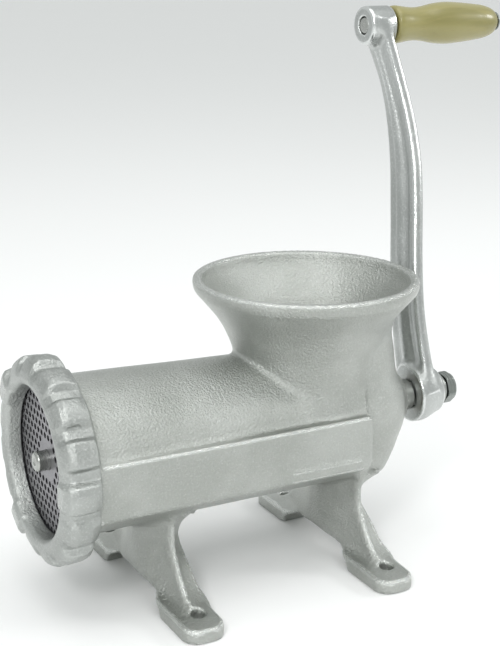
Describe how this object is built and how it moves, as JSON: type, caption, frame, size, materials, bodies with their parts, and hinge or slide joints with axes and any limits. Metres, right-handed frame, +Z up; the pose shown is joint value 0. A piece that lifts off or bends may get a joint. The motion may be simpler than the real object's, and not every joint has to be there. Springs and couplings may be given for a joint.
{
  "type": "hand crank meat grinder",
  "caption": "Cast-iron table-top meat grinder: flared hopper over a barrel on saddle legs, perforated outlet plate in a lugged ring nut, and a curved crank with a turning wooden grip.",
  "frame": {"origin": "on the floor plane under the middle of the whole object's box", "axes": "+X along the worm from the outlet towards the crank, +Z up; the near side seen with the outlet to the left is -Y"},
  "size_m": [0.3182, 0.1486, 0.2802],
  "materials": {
    "tinned_body": "hot-tinned cast iron, dull silver with fine sand-cast grain",
    "tinned_ring": "hot-tinned cast iron, brighter on the worn lugs",
    "tinned_worm": "hot-tinned cast iron, smooth flight edge",
    "tinned_arm": "hot-tinned cast iron, bright along the ribs",
    "plate_steel": "ground carbon steel, grey",
    "bright_steel": "machined steel, fine turning marks",
    "dark_steel": "darkened zinc-plated steel",
    "bush": "dull sintered bronze",
    "grip_wood": "pale lacquered hardwood"
  },
  "bodies": {
    "frame": {"body_casting": "tinned_body", "plate_pin": "bright_steel", "rear_bush": "bush", "thrust_washer": "bush"},
    "crank_train": {"worm": "tinned_worm", "knife": "plate_steel", "front_stud": "bright_steel", "crank_arm": "tinned_arm", "crank_washer": "bright_steel", "spring_washer": "dark_steel", "crank_bolt": "dark_steel", "grip_spindle": "bright_steel", "grip_washer": "dark_steel", "grip_end_washer": "dark_steel"},
    "grip_body": {"grip": "grip_wood"},
    "plate_body": {"outlet_plate": "plate_steel"},
    "ring_body": {"ring_nut": "tinned_ring"}
  },
  "joints": [
    {"name": "crank_spin", "type": "hinge", "parent": "frame", "child": "crank_train", "pos_m": [0.0563, -0.00694, 0.0773], "axis": [1, 0, 0], "continuous": true},
    {"name": "grip_spin", "type": "hinge", "parent": "crank_train", "child": "grip_body", "pos_m": [0.1193, 0.06266, 0.26853], "axis": [1, 0, 0], "continuous": true},
    {"name": "plate_slide", "type": "slide", "parent": "frame", "child": "plate_body", "axis": [-1, 0, 0], "range_m": [0, 0.01]},
    {"name": "ring_turn", "type": "hinge", "parent": "plate_body", "child": "ring_body", "pos_m": [-0.1457, -0.00694, 0.0773], "axis": [-1, 0, 0], "range_deg": [0, 900]}
  ],
  "couplings": [
    {"joint": "plate_slide", "follows": "ring_turn", "m_per_rad": 0.00063662}
  ]
}
